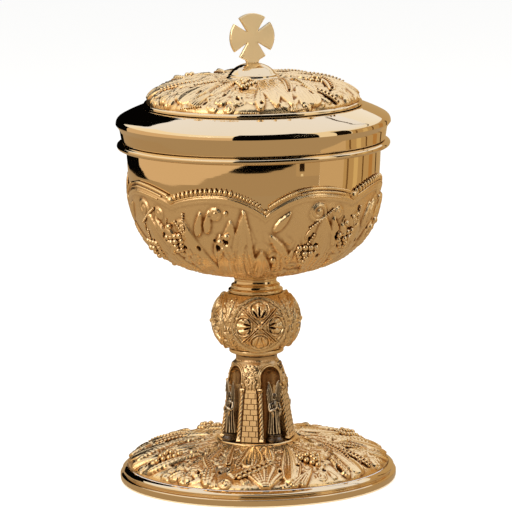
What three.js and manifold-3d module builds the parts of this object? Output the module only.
// Ciborium: a lidded cup on a figured stem and a domed foot, with a lift-off lid.
// Millimetres, +Z up, origin at the centre of the foot's underside, front towards -Y.
import * as THREE from "three";
import { mergeVertices } from "three/addons/utils/BufferGeometryUtils.js";
import Module from "manifold-3d";

const wasm = await Module();
wasm.setup();

// Clearance between neighbouring pieces
const fitGap = 0.3;

// How far forms that are joined run into each other, and how far sharp edges are eased
const biteDepth = 1;
const edgeEaseWidth = 0.5;

// How many flat sides the round pieces get
const wideSides = 36;
const stemSides = 24;
const smallSides = 12;
const nicheSides = 12;

// Foot
const footRadius = 68;
const footRimWidth = 7;
const rimHeight = 3.9;
const rimStepHeight = 0.8;
const rimBeadHeight = 2;
const rimBeadDepth = 1.6;
const domeSetBackWidth = 3.9;
const domeEdgeHeight = 7.5;
const domeCrownHeight = 18.3;
const domeRoundness = 1.65;
const domeSheet = 1.2;

// Cast ornament round the foot and the lid: forms lie along every other line of the skin, and
// each list gives how far a form stands out, as shares, from the rim to the crown
const ornamentForms = {
  vine: [0.7, 1, 0.9, 0.6, 0.3, 0.1, 0.1],
  leaf: [0.3, 0.7, 1, 1, 0.8, 0.6, 0.3],
  blade: [0.1, 0.4, 0.7, 1, 1, 0.8, 0.5],
  grapes: [0.4, 1, 0.6, 1, 0.6, 0.9, 0.3],
  ear: [0.7, 0.4, 0.9, 0.5, 0.9, 0.5, 0.7],
  sprig: [0.4, 0.2, 0.1, 0.3, 0.4, 0.3, 0.1],
};
const footOrnament = ["grapes", "vine", "ear", "leaf", "blade", "grapes", "ear", "vine", "blade"];
const footOrnamentTurn = -60;
const footOrnamentProud = 2.1;
const lidOrnament = ["grapes", "leaf", "ear", "vine", "grapes", "ear", "blade", "vine", "blade"];
const lidOrnamentTurn = 0;
const lidOrnamentProud = 1.8;

// Stem base and tower
const stemTurn = 32;
const stemBaseRadius = 20.2;
const stemBaseThickness = 1.8;
const towerHeight = 40.9;
const buttressReachLow = 17.6;
const buttressReachHigh = 14;
const buttressHalfLow = 4.4;
const buttressHalfHigh = 3;
const brickworkHeight = 23.9;
const brickCourses = 9;
const brickJointWidth = 0.3;
const headHeight = 26.3;
const headShoulderHeight = 36.7;
const headReach = 12.2;
const neckRadius = 9.5;
const neckHeight = 1.8;
const coreRadius = 8;
const nicheRadius = 5.6;
const nicheReach = 12.5;
const archSpring = 30.7;
const archBandWidth = 1.2;
const archProud = 0.9;
const archRootDepth = 1.4;
const archLapWidth = 0.15;
const archLean = 6;

// Twisted columns beside each niche
const columnRadius = 1.05;
const columnTurnPerStep = 45;
const columnStepHeight = 1.7;
const columnBaseHeight = 2.6;
const capitalHeight = 2.6;
const capitalBlockHeight = 0.8;
const columnGap = 0.4;
const columnSetBackDepth = 1;

// Angels in the niches
const pedestalReach = 15.4;
const pedestalRadius = 4.5;
const pedestalHeight = 3.4;
const angelHeight = 20.4;
const robeHalfWidth = 3.1;
const figureSides = 12;
const wingSpan = 4.2;
const wingRise = 26;
const wingThickness = 1;
const wingRootWidth = 0.3;
const wingBridgeWidth = 1.6;
const wingSweep = 12;

// Knop and collars
const lowerCollarHeight = 3.2;
const collarRadius = 13.4;
const collarStepWidth = 1.4;
const knopTurn = 5;
const knopRadius = 21.2;
const knopHalfHeight = 16.2;
const knopRoundness = 2.4;
const knopWall = 1.6;
const medallionRadius = 12.6;
const medallionBandWidth = 1.5;
const medallionProud = 0.9;
const upperCollarHeight = 10.6;
const upperCollarNeck = 10.1;

// Cup
const cupRadius = 61.9;
const cupDepth = 54;
const cupRoundness = 2.8;
const cupSteps = 7;
const cupRimHeight = 64;
const cupFlare = 0.055;
const cupFlareStart = 36;
const calyxSheet = 0.9;
const bowlSheet = 1;
const calyxTurn = 5;
const calyxPairs = 4;
const calyxColumns = 18;
const calyxDeepNotch = 37.4;
const calyxPeak = 47;
const calyxShallowNotch = 42;
const calyxPeakTurn = 22;
const calyxFullness = 0.8;
const calyxLeafProud = 0.9;
const broadLeafTurn = 9;
const slimLeafTurn = 4;
const calyxLandingWidth = 2;
const borderRadius = 1.1;
const borderSteps = 27;
const borderTurnPerStep = 40;
const borderCycle = 9;
const socketRadius = 6.5;
const socketHeight = 8;
const socketCapThickness = 1.5;
const bowlLipRise = 3.2;
const beadRingProud = 4.45;
const beadRingHeight = 3.6;

// Lid
const lidBandProud = 2.95;
const lidBandHeight = 6;
const lidBandTaper = 0.6;
const lidShoulderProud = 1.8;
const lidShoulderWidth = 13.7;
const lidDomeRise = 6;
const lidSheet = 1;
const plateHeight = 17.1;
const plateLedgeWidth = 1.6;
const plateFlange = 1.8;
const plateCrownHeight = 29.2;
const plateFlatRadius = 13;
const plateSheet = 0.9;
const bezelDepth = 7;
const bezelRise = 11;
const bezelSheet = 1;
const bezelClearance = 0.5;
const bossRadius = 12.9;
const bossHeight = 7.4;
const crossRadius = 11.6;
const crossThickness = 2;
const crossTurn = 23;
const crossWaistWidth = 2.6;
const crossFootHalf = 3.2;
const crossSlotHalf = 9;
const crossFootHeight = 1;
const crossBend = 5;

// Rods, nuts and washers
const rodRadius = 2.5;
const rodTipLength = 1;
const studRadius = 1.8;
const nutHeight = 4;
const nutAcrossCorners = 9.2;
const washerThickness = 1.2;
const washerRadius = 6.5;

// Heights and radii that follow from the sizes above
const footInnerRadius = footRadius - footRimWidth;
const domeEdgeRadius = footRadius - domeSetBackWidth;
const domeFlatRadius = stemBaseRadius;
const stemBaseFloor = domeCrownHeight + fitGap;
const towerFloor = stemBaseFloor + stemBaseThickness + fitGap;
const lowerCollarFloor = towerFloor + towerHeight + fitGap;
const knopFloor = lowerCollarFloor + lowerCollarHeight + fitGap;
const knopReach = superellipseHeight(collarRadius / knopRadius, knopRoundness);
const knopCentre = knopFloor + knopHalfHeight * knopReach;
const upperCollarFloor = knopCentre + knopHalfHeight * knopReach + fitGap;
const calyxFloor = upperCollarFloor + upperCollarHeight + fitGap;
const cupMiddle = calyxFloor + cupDepth;
const cupRim = calyxFloor + cupRimHeight;
const bowlInset = calyxSheet + fitGap;
const bowlFloor = calyxFloor + bowlInset;
const bowlRimRadius = cupRadiusAt(bowlInset, cupRim);
const beadRingRadius = bowlRimRadius + beadRingProud;
const lidBandRadius = bowlRimRadius + lidBandProud;
const lidShoulderRadius = lidBandRadius + lidShoulderProud;
const plateRadius = lidShoulderRadius - lidShoulderWidth;
const rodHole = rodRadius + fitGap;
const studHole = studRadius + fitGap;
const lidFloor = cupRim + fitGap;
const lidPlateFloor = lidFloor + plateHeight;
const plateCentreHeight = lidFloor + plateCrownHeight;
const bossFloor = plateCentreHeight + fitGap;
const bossBore = bossFloor + bossHeight * 0.6;
const crossCentre = bossFloor + bossHeight + fitGap + crossRadius + crossFootHeight;

function radians(degrees) {
  return THREE.MathUtils.degToRad(degrees);
}

// Height of a unit superellipse at a share of its half width
function superellipseHeight(share, roundness) {
  return Math.pow(1 - Math.pow(share, roundness), 1 / roundness);
}

// Solids and booleans
function solid(geometry) {
  const bare = geometry.index ? geometry.toNonIndexed() : geometry.clone();
  bare.deleteAttribute("normal");
  bare.deleteAttribute("uv");
  const merged = mergeVertices(bare, 1e-4);
  const corners = [];
  for (let i = 0; i < merged.index.count; i += 3) {
    const [a, b, c] = [0, 1, 2].map((k) => merged.index.getX(i + k));
    if (a !== b && b !== c && c !== a) corners.push(a, b, c);
  }
  const mesh = new wasm.Mesh({
    numProp: 3,
    vertProperties: new Float32Array(merged.attributes.position.array),
    triVerts: new Uint32Array(corners),
  });
  return new wasm.Manifold(mesh);
}

function geometryOf(body) {
  const mesh = body.getMesh();
  const geometry = new THREE.BufferGeometry();
  const positions = new Float32Array(mesh.vertProperties);
  geometry.setAttribute("position", new THREE.BufferAttribute(positions, 3));
  geometry.setIndex([...mesh.triVerts]);
  return geometry;
}

function join(geometries) {
  return geometryOf(geometries.map(solid).reduce((whole, next) => whole.add(next)));
}

function cut(geometry, tools) {
  return geometryOf(tools.map(solid).reduce((whole, next) => whole.subtract(next), solid(geometry)));
}

// Forms

// A turned piece: its profile is [radius, height] pairs, anticlockwise round the metal
function turned(profile, sides) {
  const points = profile.map(([radius, height]) => new THREE.Vector2(radius, height));
  return new THREE.LatheGeometry(points, sides).rotateX(Math.PI / 2);
}

function ring(profile, sides) {
  return turned([...profile, profile[0]], sides);
}

function rod(radius, floor, top, sides) {
  return new THREE.CylinderGeometry(radius, radius, top - floor, sides)
    .rotateX(Math.PI / 2)
    .translate(0, 0, (floor + top) / 2);
}

function block(width, depth, height) {
  return new THREE.BoxGeometry(width, depth, height);
}

// A skin through rings of points; the ends are capped, or the last ring meets the first
function loft(rings, endless = false) {
  const sides = rings[0].length;
  const points = rings.flat();
  const faces = [];
  const strips = endless ? rings.length : rings.length - 1;
  for (let i = 0; i < strips; i += 1) {
    for (let j = 0; j < sides; j += 1) {
      const a = i * sides + j;
      const b = i * sides + ((j + 1) % sides);
      const c = ((i + 1) % rings.length) * sides + ((j + 1) % sides);
      const d = ((i + 1) % rings.length) * sides + j;
      faces.push(a, b, c, a, c, d);
    }
  }
  if (!endless) {
    const last = (rings.length - 1) * sides;
    for (let j = 1; j < sides - 1; j += 1) {
      faces.push(0, j + 1, j);
      faces.push(last, last + j, last + j + 1);
    }
  }
  const geometry = new THREE.BufferGeometry().setFromPoints(points);
  geometry.setIndex(faces);
  return geometry;
}

// A level ring of points, anticlockwise from above
function levelRing(outline, height) {
  return outline.map(([x, y]) => new THREE.Vector3(x, y, height));
}

// Points of a superellipse from its edge to its crown, as [radius, height] pairs
function superArc(innerRadius, baseHeight, width, rise, roundness, steps) {
  const points = [];
  for (let i = 0; i <= steps; i += 1) {
    const angle = (Math.PI / 2) * (i / steps);
    points.push([
      innerRadius + width * Math.pow(Math.cos(angle), 2 / roundness),
      baseHeight + rise * Math.pow(Math.sin(angle), 2 / roundness),
    ]);
  }
  points[steps][0] = innerRadius;
  points[0][1] = baseHeight;
  return points;
}

// A turned sheet whose face is cast in ornament; the face's points follow the given start
function castSheet(profile, start, order, turn, proud) {
  const rings = profile.map(([radius, height], row) => {
    const shares = Object.values(ornamentForms)[0].length;
    const place = row - start - 1;
    const raised = place >= 0 && place < shares;
    const [radiusBefore, heightBefore] = profile[Math.max(0, row - 1)];
    const [radiusAfter, heightAfter] = profile[(row + 1) % profile.length];
    const run = Math.hypot(radiusAfter - radiusBefore, heightAfter - heightBefore);
    const out = (heightAfter - heightBefore) / run;
    const up = (radiusBefore - radiusAfter) / run;
    return Array.from({ length: wideSides }, (_, column) => {
      const angle = radians((360 * column) / wideSides + turn);
      const form = column % 2 ? "sprig" : order[(column / 2) % order.length];
      const stand = raised ? proud * ornamentForms[form][place] : 0;
      const reach = radius + stand * out;
      return new THREE.Vector3(
        reach * Math.sin(angle),
        -reach * Math.cos(angle),
        height + stand * up,
      );
    });
  });
  return loft(rings, true);
}

// Foot
function makeFootRim() {
  const lip = rimHeight + rimStepHeight;
  const waist = footRadius - rimBeadDepth;
  const ledge = domeEdgeHeight - domeSheet - fitGap;
  const seat = domeEdgeRadius + fitGap;
  return ring(
    [
      [footInnerRadius, 0],
      [footRadius, 0],
      [footRadius, rimHeight],
      [waist, lip],
      [waist + edgeEaseWidth, lip + rimBeadHeight / 2],
      [waist - edgeEaseWidth, lip + rimBeadHeight],
      [seat, domeEdgeHeight],
      [seat, ledge],
      [footInnerRadius + rimHeight * 0.4, ledge],
    ],
    wideSides,
  );
}

function domeArc(inset, steps) {
  return superArc(
    domeFlatRadius,
    domeEdgeHeight,
    domeEdgeRadius - domeFlatRadius - inset,
    domeCrownHeight - domeEdgeHeight - inset,
    domeRoundness,
    steps,
  );
}

function makeFootDome() {
  const ledge = domeEdgeHeight - domeSheet;
  const profile = [
    [domeEdgeRadius - domeSheet, ledge],
    [domeEdgeRadius, ledge],
    ...domeArc(0, ornamentForms.vine.length + 1),
    [rodHole, domeCrownHeight],
    [rodHole, domeCrownHeight - domeSheet],
    ...domeArc(domeSheet, 2).reverse(),
  ];
  return castSheet(profile, 2, footOrnament, footOrnamentTurn, footOrnamentProud);
}

function makeStemBase() {
  const top = stemBaseFloor + stemBaseThickness;
  return ring(
    [
      [rodHole, stemBaseFloor],
      [stemBaseRadius - edgeEaseWidth, stemBaseFloor],
      [stemBaseRadius, stemBaseFloor + edgeEaseWidth],
      [stemBaseRadius, top - edgeEaseWidth],
      [stemBaseRadius - edgeEaseWidth, top],
      [rodHole, top],
    ],
    stemSides,
  );
}

// Tower: four stepped brick buttresses round a core, with a round-arched niche between them

// How far a leaning face has moved at a height above the tower's floor
function leaning(low, high, height) {
  return low + ((high - low) * height) / brickworkHeight;
}

function buttressRing(height, groove) {
  const reach = leaning(buttressReachLow, buttressReachHigh, height) - groove;
  const half = leaning(buttressHalfLow, buttressHalfHigh, height) - groove;
  const root = nicheReach / Math.SQRT2;
  const outline = [
    [-half, -reach],
    [half, -reach],
    [half, -root],
    [-half, -root],
  ];
  return levelRing(outline, towerFloor + height);
}

// One buttress: courses of brick that step in at each joint, and a string course above them
function makeButtress() {
  const rings = [];
  const course = brickworkHeight / brickCourses;
  for (let i = 0; i < brickCourses; i += 1) {
    rings.push(buttressRing(i * course, 0));
    rings.push(buttressRing((i + 1) * course - brickJointWidth, brickJointWidth));
  }
  rings.push(buttressRing(brickworkHeight, -brickJointWidth));
  rings.push(buttressRing(headHeight + biteDepth, -brickJointWidth));
  return loft(rings);
}

// The tower's head is a square with its corners cut off, drawn in to the neck
function headRing(reach, cornerReach, height) {
  const outline = [];
  const cornerHalf = reach * Math.SQRT2 - cornerReach;
  const side = (cornerReach - cornerHalf) / Math.SQRT2;
  for (let i = 0; i < 4; i += 1) {
    const turn = radians(90 * i);
    for (const [x, y] of [
      [-side, -reach],
      [side, -reach],
    ]) {
      outline.push([
        x * Math.cos(turn) - y * Math.sin(turn),
        x * Math.sin(turn) + y * Math.cos(turn),
      ]);
    }
  }
  return levelRing(outline, towerFloor + height);
}

function makeTowerHead() {
  return loft([
    headRing(headReach, headReach * 1.13, headHeight),
    headRing(headReach * 0.97, headReach * 1.06, archSpring),
    headRing(headReach * 0.89, headReach * 0.93, headShoulderHeight),
    headRing(neckRadius, neckRadius * 1.02, towerHeight - neckHeight),
    headRing(neckRadius, neckRadius * 1.02, towerHeight),
  ]);
}

function makeNicheCutter() {
  const barrel = rod(nicheRadius, towerFloor - biteDepth, towerFloor + archSpring, nicheSides);
  const vault = new THREE.SphereGeometry(nicheRadius, nicheSides, 6)
    .rotateX(Math.PI / 2)
    .translate(0, 0, towerFloor + archSpring);
  return join([barrel, vault]).translate(0, -nicheReach, 0);
}

// The moulded band that frames a niche's arch, standing proud of the leaning head
function makeArchBand() {
  const inner = nicheRadius - archLapWidth;
  const outer = inner + archBandWidth;
  const legs = archSpring - headHeight;
  const outline = new THREE.Shape();
  outline.moveTo(outer, -legs);
  outline.absarc(0, 0, outer, 0, Math.PI, false);
  outline.lineTo(-outer, -legs);
  outline.lineTo(-inner, -legs);
  outline.absarc(0, 0, inner, Math.PI, 0, true);
  outline.lineTo(inner, -legs);
  const depth = archProud + archRootDepth;
  return new THREE.ExtrudeGeometry(outline, { depth, bevelEnabled: false, curveSegments: 5 })
    .translate(0, 0, -archRootDepth)
    .rotateX(Math.PI / 2 - radians(archLean))
    .translate(0, edgeEaseWidth - headReach, towerFloor + archSpring);
}

function makeTower() {
  const core = rod(coreRadius, towerFloor, towerFloor + headHeight + biteDepth, smallSides);
  const pieces = [core, makeTowerHead()];
  const cutters = [rod(rodHole, 0, towerFloor + towerHeight + biteDepth, smallSides)];
  for (let i = 0; i < 4; i += 1) {
    const turn = radians(90 * i);
    pieces.push(makeButtress().rotateZ(turn + radians(45)));
    pieces.push(makeArchBand().rotateZ(turn));
    cutters.push(makeNicheCutter().rotateZ(turn));
  }
  return cut(join(pieces), cutters);
}

// Place beside a buttress where a column stands, seen from the niche, at a height
function columnPlace(side, height) {
  const half = leaning(buttressHalfLow, buttressHalfHigh, height);
  const across = half + columnGap + columnRadius;
  const out = leaning(buttressReachLow, buttressReachHigh, height) - columnSetBackDepth;
  return [(side * (out - across)) / Math.SQRT2, -(out + across) / Math.SQRT2];
}

function squareRing(half, turn, height, side) {
  const [x, y] = columnPlace(side, height);
  const outline = [0, 1, 2, 3].map((corner) => {
    const angle = radians(45 + 90 * corner) + turn;
    return [x + half * Math.SQRT2 * Math.cos(angle), y + half * Math.SQRT2 * Math.sin(angle)];
  });
  return levelRing(outline, towerFloor + fitGap + height);
}

// A barley-twist column with a block base and a flared capital
function makeColumn(side) {
  const top = headHeight - 2 * fitGap;
  const shaftTop = top - capitalHeight;
  const shaft = columnRadius / Math.SQRT2;
  const square = radians(45);
  const rings = [
    squareRing(columnRadius, square, 0, side),
    squareRing(columnRadius, square, columnBaseHeight * 0.6, side),
    squareRing(shaft, square, columnBaseHeight, side),
  ];
  const steps = Math.round((shaftTop - columnBaseHeight) / columnStepHeight);
  for (let i = 1; i <= steps; i += 1) {
    const height = columnBaseHeight + ((shaftTop - columnBaseHeight) * i) / steps;
    rings.push(squareRing(shaft, square + radians(columnTurnPerStep * i), height, side));
  }
  const end = square + radians(columnTurnPerStep * steps);
  rings.push(squareRing(columnRadius, end, top - capitalBlockHeight, side));
  rings.push(squareRing(columnRadius, end, top, side));
  return loft(rings);
}

// Angels: each stands on a stepped pedestal, local origin at the pedestal's foot
function makePedestal() {
  return turned(
    [
      [0, 0],
      [pedestalRadius, 0],
      [pedestalRadius, pedestalHeight * 0.45],
      [pedestalRadius * 0.75, pedestalHeight * 0.65],
      [pedestalRadius * 0.75, pedestalHeight],
      [0, pedestalHeight],
    ],
    smallSides,
  );
}

// One ring of a figure: robe folds below, and in front the folded arms stand out
function figureRing({ share, width, depth, folds = 0, arms = 0 }) {
  const outline = [];
  for (let i = 0; i < figureSides; i += 1) {
    const angle = (2 * Math.PI * (i + 0.5)) / figureSides;
    const fold = 1 - (i % 2) * folds;
    const front = Math.max(0, -Math.sin(angle)) ** 2;
    outline.push([
      robeHalfWidth * width * fold * Math.cos(angle),
      robeHalfWidth * (depth * fold * Math.sin(angle) - arms * front),
    ]);
  }
  return levelRing(outline, angelHeight * share);
}

// A robed figure with its hands at its chest, from the hem to the crown of its head
function makeAngelFigure() {
  const rings = [
    { share: 0, width: 1, depth: 0.85, folds: 0.16 },
    { share: 0.3, width: 0.86, depth: 0.72, folds: 0.13 },
    { share: 0.5, width: 0.76, depth: 0.6, folds: 0.1, arms: 0.05 },
    { share: 0.56, width: 0.9, depth: 0.6, folds: 0.05, arms: 0.4 },
    { share: 0.64, width: 0.96, depth: 0.6, folds: 0.02, arms: 0.48 },
    { share: 0.7, width: 0.94, depth: 0.58, arms: 0.16 },
    { share: 0.76, width: 0.84, depth: 0.52 },
    { share: 0.79, width: 0.5, depth: 0.4 },
    { share: 0.82, width: 0.26, depth: 0.28 },
    { share: 0.85, width: 0.34, depth: 0.4 },
    { share: 0.9, width: 0.48, depth: 0.52 },
    { share: 0.95, width: 0.45, depth: 0.48 },
    { share: 0.985, width: 0.28, depth: 0.3 },
    { share: 1, width: 0.1, depth: 0.12 },
  ];
  return loft(rings.map(figureRing));
}

// A raised wing: three rows of feathers step down its outer edge
function wingOutline(side) {
  const outline = new THREE.Shape();
  const low = angelHeight * 0.5;
  outline.moveTo(side * wingRootWidth, angelHeight * 0.74);
  outline.bezierCurveTo(
    side * wingSpan * 0.3,
    angelHeight * 0.95,
    side * wingSpan * 0.35,
    wingRise * 0.95,
    side * wingSpan * 0.7,
    wingRise,
  );
  outline.lineTo(side * wingSpan * 0.92, wingRise * 0.9);
  outline.lineTo(side * wingSpan * 0.86, wingRise * 0.84);
  outline.lineTo(side * wingSpan, wingRise * 0.72);
  outline.lineTo(side * wingSpan * 0.92, wingRise * 0.66);
  outline.lineTo(side * wingSpan, wingRise * 0.54);
  outline.lineTo(side * wingSpan * 0.7, low);
  outline.lineTo(side * wingSpan * 0.4, low * 0.85);
  outline.lineTo(side * wingRootWidth, low * 1.08);
  return outline;
}

function makeWings() {
  const settings = { depth: wingThickness, bevelEnabled: false, curveSegments: 4 };
  const pieces = [-1, 1].map((side) => {
    const wing = new THREE.ExtrudeGeometry(wingOutline(side), settings);
    return wing.rotateX(Math.PI / 2).rotateZ(-side * radians(wingSweep));
  });
  const bridge = block(wingBridgeWidth, wingThickness, angelHeight * 0.2).translate(
    0,
    -wingThickness / 2,
    angelHeight * 0.62,
  );
  return join([...pieces, bridge]);
}

// Stem collars and knop
function makeLowerCollar() {
  const floor = lowerCollarFloor;
  const top = floor + lowerCollarHeight;
  return ring(
    [
      [rodHole, floor],
      [neckRadius + edgeEaseWidth, floor],
      [collarRadius - collarStepWidth, floor + lowerCollarHeight * 0.25],
      [collarRadius, floor + lowerCollarHeight * 0.45],
      [collarRadius, top - edgeEaseWidth],
      [collarRadius - edgeEaseWidth, top],
      [rodHole, top],
    ],
    stemSides,
  );
}

function knopArc(inset, reach) {
  const points = [];
  const steps = inset ? 2 : 4;
  for (let i = -steps; i <= steps; i += 1) {
    const height = (reach * i) / steps;
    const radius = (knopRadius - inset) * superellipseHeight(Math.abs(height), knopRoundness);
    points.push([radius, knopCentre + (knopHalfHeight - inset) * height]);
  }
  return points;
}

function makeKnop() {
  const outer = knopArc(0, knopReach);
  const inner = knopArc(knopWall, knopReach * 0.96).reverse();
  const floor = outer[0][1];
  const top = outer[outer.length - 1][1];
  const ceiling = inner[0][1];
  const cellar = inner[inner.length - 1][1];
  return ring(
    [[rodHole, floor], ...outer, [rodHole, top], [rodHole, ceiling], ...inner, [rodHole, cellar]],
    stemSides,
  );
}

// A point over the knop's face, across and up from a medallion's centre, standing off the metal
function overKnop(across, up, standOff) {
  const share = Math.min(0.98, Math.abs(up) / knopHalfHeight);
  const radius = knopRadius * superellipseHeight(share, knopRoundness);
  const angle = across / knopRadius;
  const out = (radius + standOff) * Math.cos(angle);
  return new THREE.Vector3((radius + standOff) * Math.sin(angle), -out, knopCentre + up);
}

// A bar laid over the knop's face along a path of [across, up] pairs
function layOverKnop(path, halfWidth, endless) {
  const count = path.length;
  const rings = path.map(([across, up], i) => {
    const before = path[endless ? (i + count - 1) % count : Math.max(0, i - 1)];
    const after = path[endless ? (i + 1) % count : Math.min(count - 1, i + 1)];
    const run = new THREE.Vector2(after[0] - before[0], after[1] - before[1]).normalize();
    const left = [across - run.y * halfWidth, up + run.x * halfWidth];
    const right = [across + run.y * halfWidth, up - run.x * halfWidth];
    return [
      overKnop(...left, fitGap),
      overKnop(across, up, fitGap + medallionProud),
      overKnop(...right, fitGap),
    ];
  });
  return loft(rings, endless);
}

function makeMedallion() {
  const frame = [];
  const steps = 18;
  const middle = medallionRadius - medallionBandWidth / 2;
  for (let i = 0; i < steps; i += 1) {
    const angle = (2 * Math.PI * i) / steps;
    frame.push([middle * Math.cos(angle), middle * Math.sin(angle)]);
  }
  const pieces = [layOverKnop(frame, medallionBandWidth / 2, true)];
  for (const side of [-1, 1]) {
    const rib = [];
    const reach = middle * Math.SQRT1_2;
    for (let i = -2; i <= 2; i += 1) {
      rib.push([(side * reach * i) / 2, (reach * i) / 2]);
    }
    pieces.push(layOverKnop(rib, medallionBandWidth / 3, false));
  }
  return join(pieces);
}

function makeUpperCollar() {
  const floor = upperCollarFloor;
  const top = floor + upperCollarHeight;
  const well = top - socketHeight + fitGap;
  const bore = socketRadius + fitGap;
  return ring(
    [
      [rodHole, floor],
      [collarRadius, floor],
      [collarRadius, floor + upperCollarHeight * 0.14],
      [collarRadius - collarStepWidth, floor + upperCollarHeight * 0.2],
      [collarRadius - collarStepWidth, floor + upperCollarHeight * 0.34],
      [upperCollarNeck + edgeEaseWidth, floor + upperCollarHeight * 0.41],
      [upperCollarNeck, floor + upperCollarHeight * 0.71],
      [collarRadius - edgeEaseWidth, top],
      [bore, top],
      [bore, well],
      [rodHole, well],
    ],
    stemSides,
  );
}

// Cup

// Outline of the cup's metal, a given distance inside the calyx's outer face. The bowl and
// the calyx share these angles, so that their flat sides nest.
function cupAngle(step) {
  const start = Math.asin(Math.pow((socketRadius + calyxLandingWidth) / cupRadius, cupRoundness / 2));
  return start + (Math.PI / 2 - start) * (step / cupSteps);
}

function cupPoint(inset, angle) {
  const height = cupMiddle - (cupDepth - inset) * Math.pow(Math.cos(angle), 2 / cupRoundness);
  const radius = (cupRadius - inset) * Math.pow(Math.sin(angle), 2 / cupRoundness);
  return [radius + cupFlareAt(height), height];
}

function cupArc(inset, stride = 1) {
  const points = [];
  for (let i = 0; i < cupSteps; i += stride) {
    points.push(cupPoint(inset, cupAngle(i)));
  }
  points.push([cupRadiusAt(inset, cupMiddle), cupMiddle]);
  return points;
}

function cupFlareAt(height) {
  return cupFlare * Math.max(0, height - calyxFloor - cupFlareStart);
}

// Radius of the same outline at a height above its middle stretch
function cupRadiusAt(inset, height) {
  const share = Math.max(0, cupMiddle - height) / (cupDepth - inset);
  const radius = (cupRadius - inset) * superellipseHeight(share, cupRoundness);
  return radius + cupFlareAt(height);
}

function makeBowl() {
  const inside = bowlInset + bowlSheet;
  const rimInner = cupRadiusAt(inside, cupRim);
  return turned(
    [
      [0, bowlFloor],
      ...cupArc(bowlInset),
      [bowlRimRadius, cupRim + bowlLipRise],
      [rimInner, cupRim + bowlLipRise],
      ...cupArc(inside, 2).reverse(),
      [0, bowlFloor + bowlSheet],
    ],
    wideSides,
  );
}

function makeBeadRing() {
  const inner = bowlRimRadius + fitGap;
  const floor = cupRim - beadRingHeight;
  return ring(
    [
      [inner, floor],
      [beadRingRadius - beadRingHeight * 0.25, floor + beadRingHeight * 0.28],
      [beadRingRadius, floor + beadRingHeight * 0.53],
      [beadRingRadius - beadRingHeight * 0.11, floor + beadRingHeight * 0.78],
      [beadRingRadius - beadRingHeight * 0.5, cupRim],
      [inner, cupRim],
    ],
    wideSides,
  );
}

// Height of the calyx's scalloped edge: deep notches and shallow ones take turns
function calyxEdge(angle) {
  const span = 360 / calyxPairs;
  const turn = ((angle % span) + span) % span;
  const fromDeep = Math.min(turn, span - turn);
  if (fromDeep < calyxPeakTurn) {
    const share = Math.sin((Math.PI / 2) * (fromDeep / calyxPeakTurn));
    return calyxFloor + calyxDeepNotch + (calyxPeak - calyxDeepNotch) * Math.pow(share, calyxFullness);
  }
  const share = Math.cos((Math.PI / 2) * ((fromDeep - calyxPeakTurn) / (span / 2 - calyxPeakTurn)));
  return calyxFloor + calyxShallowNotch + (calyxPeak - calyxShallowNotch) * Math.pow(share, calyxFullness);
}

// How proud the chased leaves stand: one broad leaf under each scallop, one slim leaf between
function leafRelief(angle, share) {
  const span = 360 / calyxPairs;
  const turn = ((angle % span) + span) % span;
  const fromDeep = Math.min(turn, span - turn);
  const spread = broadLeafTurn * Math.sin(Math.PI * share) + 1;
  const broad = Math.max(0, 1 - Math.abs(fromDeep - calyxPeakTurn) / spread);
  const slim = Math.max(0, 1 - Math.min(fromDeep, span / 2 - fromDeep) / slimLeafTurn);
  return calyxLeafProud * Math.max(broad, 0.7 * slim) * Math.sin(Math.PI * Math.min(1, share * 1.1));
}

function calyxRing(step, inset) {
  const outline = [];
  const columns = calyxPairs * calyxColumns;
  for (let j = 0; j < columns; j += 1) {
    const angle = (360 * j) / columns;
    const fall = (cupMiddle - calyxEdge(angle)) / (cupDepth - inset);
    const edgeAngle = Math.acos(Math.pow(fall, cupRoundness / 2));
    const turn = step < cupSteps ? cupAngle(step) : edgeAngle;
    const [radius, height] = step ? cupPoint(inset, turn) : [socketRadius + fitGap, calyxFloor + inset];
    const proud = inset ? 0 : leafRelief(angle, turn / edgeAngle);
    const around = radians(angle);
    const reach = radius + proud * Math.sin(turn);
    const drop = proud * Math.cos(turn);
    outline.push(new THREE.Vector3(reach * Math.sin(around), -reach * Math.cos(around), height - drop));
  }
  return outline;
}

function makeCalyx() {
  const rings = [];
  for (let step = 0; step <= cupSteps; step += 1) {
    rings.push(calyxRing(step, 0));
  }
  for (let step = cupSteps; step >= 0; step -= 1) {
    rings.push(calyxRing(step, calyxSheet));
  }
  return loft(rings, true);
}

// The rope border that follows the scalloped edge round the bowl
function makeBorder() {
  const count = calyxPairs * borderSteps;
  const rings = [];
  const place = (i) => {
    const angle = (360 * i) / count;
    const height = calyxEdge(angle) + fitGap + borderRadius;
    const reach = cupRadiusAt(bowlInset, height) + fitGap + borderRadius;
    const around = radians(angle);
    return new THREE.Vector3(reach * Math.sin(around), -reach * Math.cos(around), height);
  };
  for (let i = 0; i < count; i += 1) {
    const centre = place(i);
    const run = place(i + 1).sub(place(i - 1)).normalize();
    const outward = new THREE.Vector3(centre.x, centre.y, 0).normalize();
    outward.addScaledVector(run, -outward.dot(run)).normalize();
    const upward = new THREE.Vector3().crossVectors(run, outward);
    const corners = [0, 1, 2, 3].map((corner) => {
      const angle = radians(90 * corner + borderTurnPerStep * (i % borderCycle));
      return centre
        .clone()
        .addScaledVector(outward, borderRadius * Math.cos(angle))
        .addScaledVector(upward, borderRadius * Math.sin(angle));
    });
    rings.push(corners);
  }
  return loft(rings, true);
}

function makeSocket() {
  const top = bowlFloor - fitGap;
  const floor = calyxFloor - socketHeight + fitGap;
  return turned(
    [
      [rodHole, floor],
      [socketRadius, floor],
      [socketRadius, top],
      [0, top],
      [0, top - socketCapThickness],
      [rodHole, top - socketCapThickness],
      [rodHole, floor],
    ],
    smallSides,
  );
}

// Lid

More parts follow.
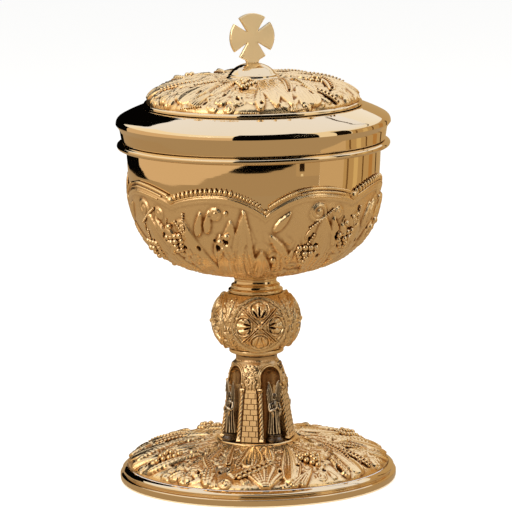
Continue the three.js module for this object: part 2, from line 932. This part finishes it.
// A point of the lid's shoulder, as shares of its width and of its rise to the plate
function shoulderPoint(inset, across, up) {
  const shoulder = lidFloor + lidBandHeight;
  const rise = lidPlateFloor - fitGap - shoulder;
  return [lidShoulderRadius - inset - lidShoulderWidth * across, shoulder + rise * up - inset * across];
}

function makeLidShell() {
  const under = lidPlateFloor - fitGap;
  const foot = lidBandRadius - lidBandTaper;
  const seat = plateRadius - 2 * plateLedgeWidth;
  const hub = washerRadius + calyxLandingWidth;
  const crown = under + lidDomeRise;
  const outer = [
    [foot, lidFloor],
    [lidBandRadius, lidFloor + lidBandHeight],
    shoulderPoint(0, 0, 0.25),
    shoulderPoint(0, 0.04, 0.42),
    shoulderPoint(0, 0.23, 0.6),
    shoulderPoint(0, 0.62, 0.85),
    shoulderPoint(0, 0.93, 0.99),
    [seat, under],
    [(seat + hub) / 2, under + lidDomeRise * 0.6],
    [hub, crown],
  ];
  const inner = [
    [foot - lidSheet, lidFloor],
    [lidBandRadius - lidSheet, lidFloor + lidBandHeight + lidSheet],
    shoulderPoint(lidSheet, 0, 0.25),
    shoulderPoint(lidSheet, 0.6, 0.8),
    [seat, under - lidSheet],
    [hub, crown - lidSheet],
  ];
  return ring(
    [...outer, [studHole, crown], [studHole, crown - lidSheet], ...inner.reverse()],
    wideSides,
  );
}

function makeLidPlate() {
  const flangeTop = lidPlateFloor + plateFlange;
  const inner = plateRadius - plateLedgeWidth;
  const width = inner - plateFlatRadius;
  const rise = plateCentreHeight - flangeTop;
  const face = superArc(plateFlatRadius, flangeTop, width, rise, 2, ornamentForms.vine.length + 1);
  const back = superArc(plateFlatRadius, flangeTop, width - plateSheet, rise - plateSheet, 2, 2);
  const profile = [
    [inner - plateSheet, lidPlateFloor],
    [plateRadius, lidPlateFloor],
    [plateRadius, flangeTop - edgeEaseWidth],
    [plateRadius - edgeEaseWidth, flangeTop],
    ...face,
    [studHole, plateCentreHeight],
    [studHole, plateCentreHeight - plateSheet],
    ...back.reverse(),
  ];
  return castSheet(profile, 4, lidOrnament, lidOrnamentTurn, lidOrnamentProud);
}

// The ring under the lid that keeps it centred in the cup's mouth
function makeBezel() {
  const floor = cupRim - bezelDepth;
  const outer = cupRadiusAt(bowlInset + bowlSheet, floor) - bezelClearance;
  const top = lidFloor + bezelRise;
  return ring(
    [
      [outer - bezelSheet, floor],
      [outer - edgeEaseWidth, floor],
      [outer, floor + 2 * edgeEaseWidth],
      [outer, top],
      [outer - bezelSheet, top],
    ],
    wideSides,
  );
}

function makeBoss() {
  const top = bossFloor + bossHeight;
  return turned(
    [
      [studHole, bossFloor],
      [bossRadius, bossFloor],
      [bossRadius, bossFloor + bossHeight * 0.11],
      [bossRadius * 0.915, bossFloor + bossHeight * 0.19],
      [bossRadius * 0.915, bossFloor + bossHeight * 0.31],
      [bossRadius * 0.82, bossFloor + bossHeight * 0.43],
      [bossRadius * 0.6, bossFloor + bossHeight * 0.81],
      [crossFootHalf + 2 * edgeEaseWidth, top],
      [0, top],
      [0, bossBore],
      [studHole, bossBore],
      [studHole, bossFloor],
    ],
    stemSides,
  );
}

// A cross with flared arms inside one circle, on a short foot
function crossPoint(reach, angle) {
  return [reach * Math.cos(angle), reach * Math.sin(angle)];
}

function makeCross() {
  const outline = new THREE.Shape();
  const armHalf = radians(45 - crossSlotHalf);
  const foot = crossRadius + crossFootHeight;
  const footAngle = Math.asin(crossFootHalf / crossRadius);
  const waist = crossWaistWidth * Math.SQRT2;
  const bend = crossRadius * 0.45;
  for (let i = 0; i < 4; i += 1) {
    const middle = radians(-90 + 90 * i);
    const notch = middle - Math.PI / 4;
    const next = middle + Math.PI / 4;
    if (i === 0) {
      outline.moveTo(...crossPoint(waist, notch));
    }
    const tip = crossPoint(crossRadius, middle - armHalf);
    outline.quadraticCurveTo(...crossPoint(bend, notch + radians(crossBend)), ...tip);
    if (i === 0) {
      outline.absarc(0, 0, crossRadius, middle - armHalf, middle - footAngle, false);
      outline.lineTo(-crossFootHalf, -foot);
      outline.lineTo(crossFootHalf, -foot);
      outline.absarc(0, 0, crossRadius, middle + footAngle, middle + armHalf, false);
    } else {
      outline.absarc(0, 0, crossRadius, middle - armHalf, middle + armHalf, false);
    }
    outline.quadraticCurveTo(...crossPoint(bend, next - radians(crossBend)), ...crossPoint(waist, next));
  }
  const settings = { depth: crossThickness, bevelEnabled: false, curveSegments: 4 };
  return new THREE.ExtrudeGeometry(outline, settings)
    .translate(0, 0, -crossThickness / 2)
    .rotateX(Math.PI / 2)
    .translate(0, 0, crossCentre);
}

// Rods, nuts and washers
function makeNut(hole, floor) {
  const outline = new THREE.Shape();
  for (let i = 0; i < 6; i += 1) {
    const corner = [
      (nutAcrossCorners / 2) * Math.cos(radians(60 * i)),
      (nutAcrossCorners / 2) * Math.sin(radians(60 * i)),
    ];
    if (i === 0) {
      outline.moveTo(...corner);
    } else {
      outline.lineTo(...corner);
    }
  }
  outline.holes.push(new THREE.Path().absarc(0, 0, hole, 0, 2 * Math.PI, true));
  const settings = { depth: nutHeight, bevelEnabled: false, curveSegments: smallSides };
  return new THREE.ExtrudeGeometry(outline, settings).translate(0, 0, floor);
}

function makeWasher(hole, floor) {
  return ring(
    [
      [hole, floor],
      [washerRadius, floor],
      [washerRadius, floor + washerThickness],
      [hole, floor + washerThickness],
    ],
    smallSides,
  );
}

const footWasherFloor = domeCrownHeight - domeSheet - fitGap - washerThickness;
const footNutFloor = footWasherFloor - fitGap - nutHeight;
const lidWasherFloor = lidPlateFloor - fitGap + lidDomeRise - lidSheet - fitGap - washerThickness;
const lidNutFloor = lidWasherFloor - fitGap - nutHeight;

// Materials: colours as the eye sees them, all metal
const finishes = {
  polishedGilt: { color: 0xe2bd86, roughness: 0.12 },
  satinGilt: { color: 0xd6a964, roughness: 0.38 },
  paleGilt: { color: 0xdcc190, roughness: 0.45 },
  darkSilver: { color: 0x6b625a, roughness: 0.42 },
  bareBrass: { color: 0xb99a52, roughness: 0.5 },
};

function addPiece(group, name, geometry, finish) {
  const material = new THREE.MeshStandardMaterial({ ...finishes[finish], metalness: 1 });
  const mesh = new THREE.Mesh(geometry, material);
  mesh.name = name;
  group.add(mesh);
  return mesh;
}

const ciborium = new THREE.Group();

const foot = new THREE.Group();
addPiece(foot, "foot_rim", makeFootRim(), "polishedGilt");
addPiece(foot, "foot_dome", makeFootDome(), "satinGilt");
const tieRodTop = bowlFloor - fitGap - socketCapThickness - fitGap;
addPiece(foot, "tie_rod", rod(rodRadius, footNutFloor - rodTipLength, tieRodTop, smallSides), "bareBrass");
addPiece(foot, "tie_rod_washer", makeWasher(rodHole, footWasherFloor), "bareBrass");
addPiece(foot, "tie_rod_nut", makeNut(rodHole, footNutFloor), "bareBrass");
ciborium.add(foot);

const stem = new THREE.Group();
stem.rotation.z = radians(stemTurn);
addPiece(stem, "stem_base", makeStemBase(), "polishedGilt");
addPiece(stem, "tower", makeTower(), "satinGilt");
for (let i = 0; i < 4; i += 1) {
  const niche = new THREE.Group();
  niche.rotation.z = radians(90 * i);
  addPiece(niche, "column_" + (2 * i + 1), makeColumn(-1), "satinGilt");
  addPiece(niche, "column_" + (2 * i + 2), makeColumn(1), "satinGilt");
  const pedestal = addPiece(niche, "angel_pedestal_" + (i + 1), makePedestal(), "darkSilver");
  pedestal.position.set(0, -pedestalReach, towerFloor);
  const figure = addPiece(niche, "angel_figure_" + (i + 1), makeAngelFigure(), "darkSilver");
  figure.position.set(0, -pedestalReach, towerFloor + pedestalHeight + fitGap);
  const wings = addPiece(niche, "angel_wings_" + (i + 1), makeWings(), "darkSilver");
  wings.position.set(0, -pedestalReach + robeHalfWidth * 0.62 + fitGap + wingThickness, figure.position.z);
  stem.add(niche);
}
ciborium.add(stem);

const knop = new THREE.Group();
knop.rotation.z = radians(knopTurn);
addPiece(knop, "collar_lower", makeLowerCollar(), "polishedGilt");
addPiece(knop, "knop", makeKnop(), "satinGilt");
for (let i = 0; i < 4; i += 1) {
  const medallion = addPiece(knop, "knop_medallion_" + (i + 1), makeMedallion(), "satinGilt");
  medallion.rotation.z = radians(90 * i);
}
addPiece(knop, "collar_upper", makeUpperCollar(), "polishedGilt");
ciborium.add(knop);

const cup = new THREE.Group();
addPiece(cup, "cup_socket", makeSocket(), "bareBrass");
addPiece(cup, "cup_bowl", makeBowl(), "polishedGilt");
addPiece(cup, "cup_bead_ring", makeBeadRing(), "polishedGilt");
const scallops = new THREE.Group();
scallops.rotation.z = radians(calyxTurn);
addPiece(scallops, "calyx", makeCalyx(), "satinGilt");
addPiece(scallops, "calyx_rope_border", makeBorder(), "satinGilt");
cup.add(scallops);
ciborium.add(cup);

const lid = new THREE.Group();
addPiece(lid, "lid_shell", makeLidShell(), "polishedGilt");
addPiece(lid, "lid_bezel", makeBezel(), "polishedGilt");
addPiece(lid, "lid_plate", makeLidPlate(), "satinGilt");
addPiece(lid, "lid_washer", makeWasher(studHole, lidWasherFloor), "bareBrass");
addPiece(lid, "lid_nut", makeNut(studHole, lidNutFloor), "bareBrass");
const stud = rod(studRadius, lidNutFloor - rodTipLength, bossBore - fitGap, smallSides);
addPiece(lid, "finial_stud", stud, "bareBrass");
addPiece(lid, "finial_boss", makeBoss(), "polishedGilt");
const cross = addPiece(lid, "cross_finial", makeCross(), "paleGilt");
cross.rotation.z = radians(crossTurn);
ciborium.add(lid);

export default ciborium;
